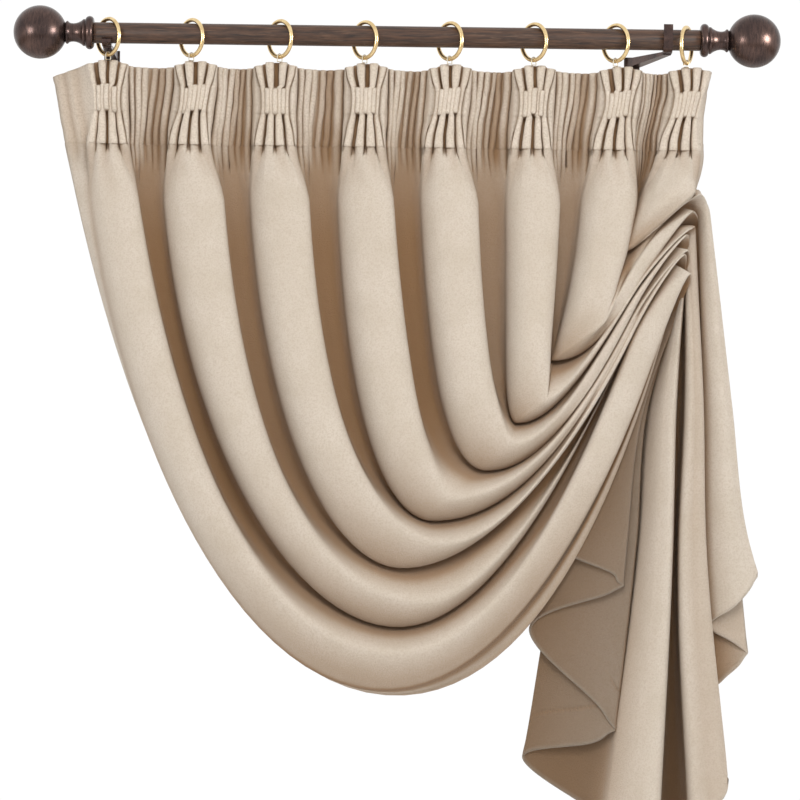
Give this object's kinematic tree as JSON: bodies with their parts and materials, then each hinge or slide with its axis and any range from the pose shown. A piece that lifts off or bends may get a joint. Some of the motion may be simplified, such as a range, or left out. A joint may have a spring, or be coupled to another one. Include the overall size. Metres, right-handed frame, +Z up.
{
  "type": "velvet curtain on a rod",
  "caption": "Cream velvet curtain with pinch pleats, swagged to one side, hung by brass rings on a dark rod with ball finials and wall brackets.",
  "frame": {"origin": "middle of the left bracket plate's back face, between its two screw holes, where it lies on the wall", "axes": "+X along the rod to the right as seen from the room, +Y into the wall, +Z up"},
  "size_m": [0.9205, 0.1363, 0.9947],
  "materials": {
    "velvet": "matt cream velvet with a short pile",
    "stained_rod": "dark brown grained stain, satin",
    "dark_bronze": "brushed dark bronze with copper highlights",
    "brass": "polished",
    "pale_wire": "pale plated wire"
  },
  "bodies": {
    "root": {"curtain": "velvet", "rod": "stained_rod", "finial_left": "dark_bronze", "finial_right": "dark_bronze", "bracket_left": "dark_bronze", "bracket_right": "dark_bronze", "ring_1": "brass", "eye_1": "pale_wire", "ring_2": "brass", "eye_2": "pale_wire", "ring_3": "brass", "eye_3": "pale_wire", "ring_4": "brass", "eye_4": "pale_wire", "ring_5": "brass", "eye_5": "pale_wire", "ring_6": "brass", "eye_6": "pale_wire", "ring_7": "brass", "eye_7": "pale_wire", "ring_8": "brass", "eye_8": "pale_wire"}
  },
  "joints": []
}
